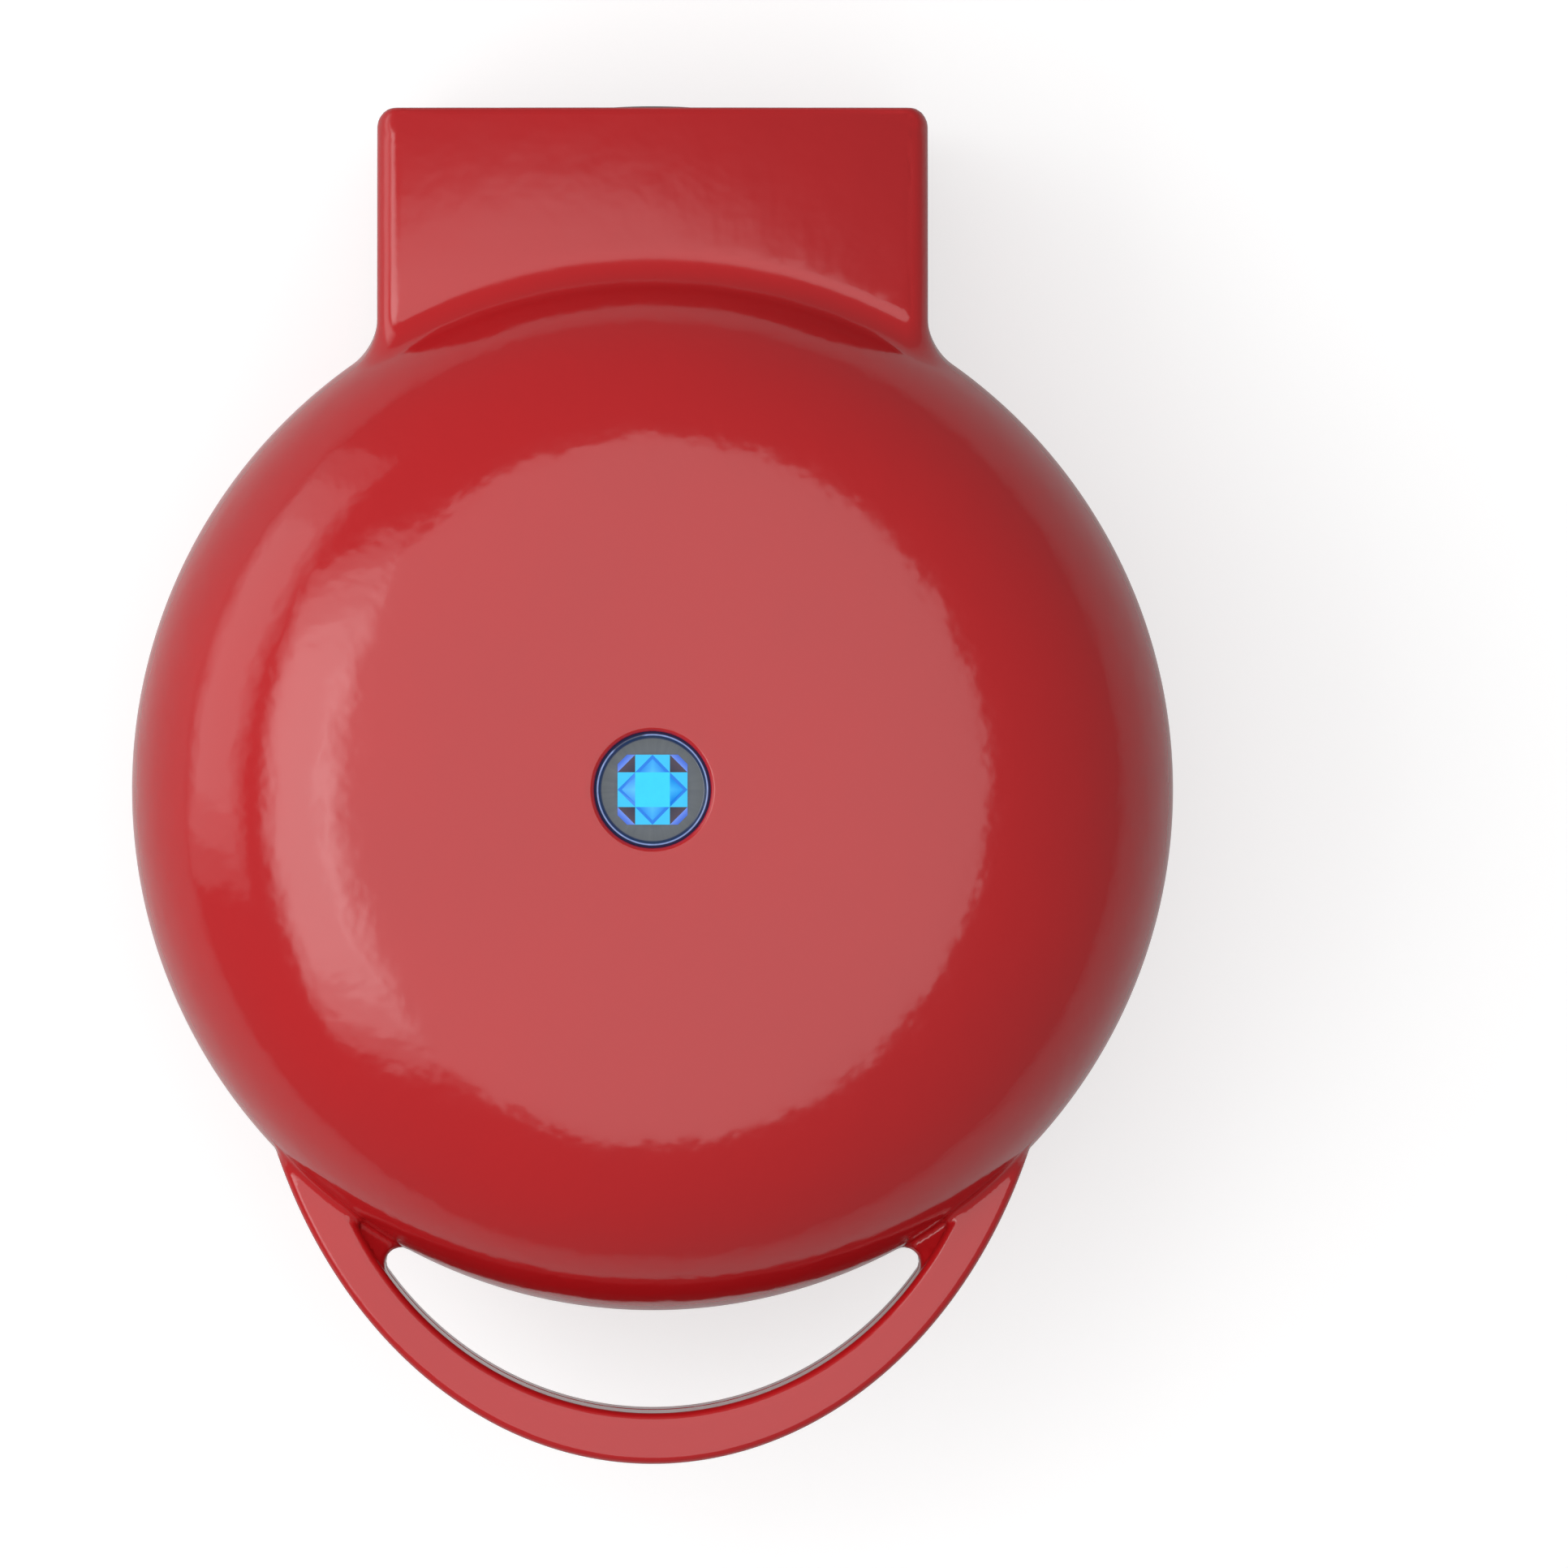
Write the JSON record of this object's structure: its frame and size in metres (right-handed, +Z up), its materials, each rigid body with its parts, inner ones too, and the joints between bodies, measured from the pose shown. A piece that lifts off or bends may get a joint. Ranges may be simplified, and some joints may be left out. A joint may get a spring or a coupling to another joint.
{
  "type": "mini waffle maker",
  "caption": "Round countertop waffle maker with a domed hinged lid, loop handle, rear hinge block, pegged baking plates and a centre indicator.",
  "frame": {"origin": "centre of the bounding box in plan, at the undersides of the feet", "axes": "+Z up, -Y towards the handle at the front, +Y towards the hinge block at the back, +X to the right seen from the front"},
  "size_m": [0.127, 0.1664, 0.0708],
  "materials": {
    "gloss_red": "high gloss moulded red",
    "black_plastic": "fine matt, heat resistant",
    "non_stick_plate": "cast, dark non-stick coating",
    "bright_steel": "zinc plated",
    "heater_sheath": "annealed tube",
    "aluminised_sheet": "aluminised pressed sheet",
    "rubber": "matt",
    "blue_lens": "clear faceted polycarbonate, blue glow",
    "lamp": "lit blue lamp",
    "woven_sleeve": "woven glass sleeve",
    "ceramic": "matt steatite",
    "wire_insulation": "satin silicone"
  },
  "bodies": {
    "base": {"base_shell": "gloss_red", "bottom_cover": "black_plastic", "cord_gland": "black_plastic", "cover_screw_1": "bright_steel", "cover_screw_2": "bright_steel", "cover_screw_3": "bright_steel", "cover_screw_4": "bright_steel", "foot_front_left": "rubber", "foot_front_right": "rubber", "foot_rear_left": "rubber", "foot_rear_right": "rubber", "heater_wire": "wire_insulation", "live_wire": "wire_insulation", "lower_heat_shield": "aluminised_sheet", "lower_heater": "heater_sheath", "lower_inner_ring": "black_plastic", "lower_lead": "woven_sleeve", "lower_plate": "non_stick_plate", "lower_plate_screw_1": "bright_steel", "lower_plate_screw_2": "bright_steel", "lower_plate_screw_3": "bright_steel", "lower_ring_screw_1": "bright_steel", "lower_ring_screw_2": "bright_steel", "lower_ring_screw_3": "bright_steel", "lower_ring_screw_4": "bright_steel", "neutral_wire": "wire_insulation", "terminal_block": "ceramic", "terminal_block_screw": "bright_steel", "thermal_fuse": "ceramic", "thermostat": "ceramic", "thermostat_bracket": "aluminised_sheet", "thermostat_rivet_left": "bright_steel", "thermostat_rivet_right": "bright_steel", "thermostat_wire": "wire_insulation"},
    "lid": {"hinge_pin_left": "bright_steel", "hinge_pin_right": "bright_steel", "indicator_lamp": "lamp", "indicator_lens": "blue_lens", "lamp_holder": "black_plastic", "lamp_lead": "wire_insulation", "lid_shell": "gloss_red", "upper_heat_shield": "aluminised_sheet", "upper_heater": "heater_sheath", "upper_inner_ring": "black_plastic", "upper_lead": "woven_sleeve", "upper_plate": "non_stick_plate", "upper_plate_screw_1": "bright_steel", "upper_plate_screw_2": "bright_steel", "upper_plate_screw_3": "bright_steel", "upper_ring_screw_1": "bright_steel", "upper_ring_screw_2": "bright_steel", "upper_ring_screw_3": "bright_steel", "upper_ring_screw_4": "bright_steel"}
  },
  "joints": [
    {"name": "lid_hinge", "type": "hinge", "parent": "base", "child": "lid", "pos_m": [0, 0.0752, 0.0436], "axis": [-1, 0, 0], "range_deg": [0, 100]}
  ]
}
